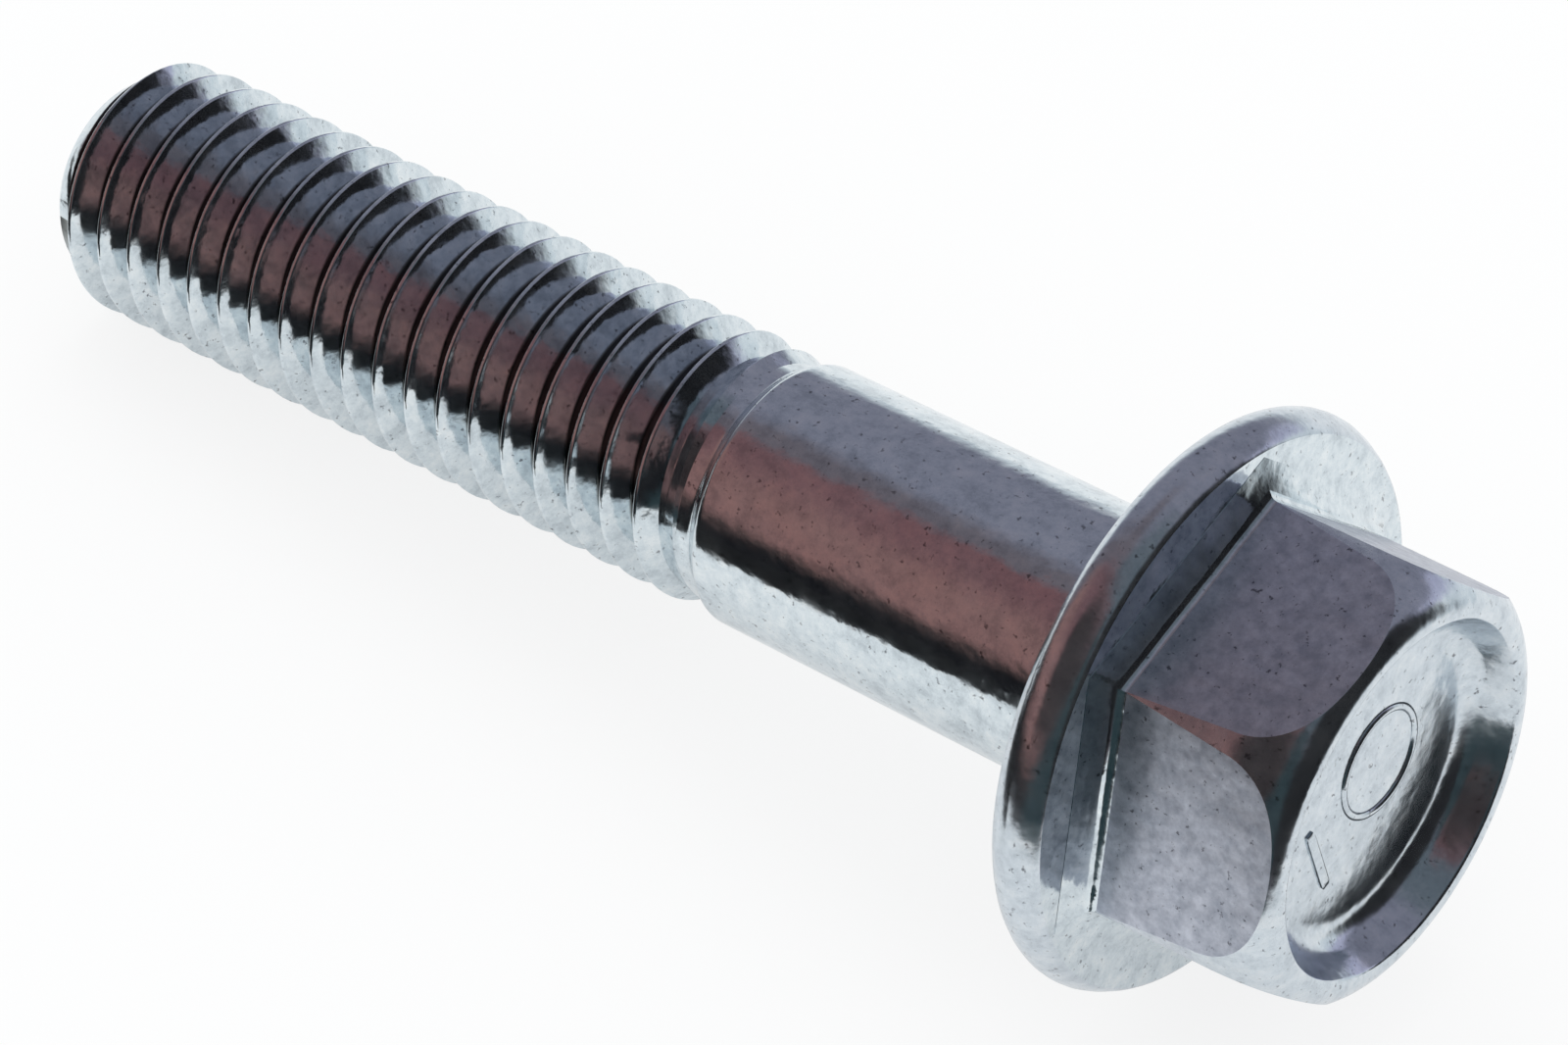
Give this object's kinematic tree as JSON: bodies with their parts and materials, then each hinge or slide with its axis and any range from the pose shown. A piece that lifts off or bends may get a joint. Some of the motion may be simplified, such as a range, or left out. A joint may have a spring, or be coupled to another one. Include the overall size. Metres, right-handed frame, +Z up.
{
  "type": "flange bolt",
  "caption": "Zinc-plated steel hexagon flange bolt with a dished head, part plain shank and rolled coarse thread, lying on its flange rim",
  "frame": {"origin": "On the surface the bolt lies on, under the middle of its bounding box", "axes": "+X along the bolt from the point of the thread towards the head, +Y across it, +Z up. The bolt's own axis leans up towards the head by about six and a half degrees."},
  "size_m": [0.048, 0.017, 0.0169],
  "materials": {
    "zinc_steel": "bright zinc plated over cold-forged steel, satin, with small pits and specks"
  },
  "bodies": {
    "root": {"flange_bolt": "zinc_steel"}
  },
  "joints": []
}
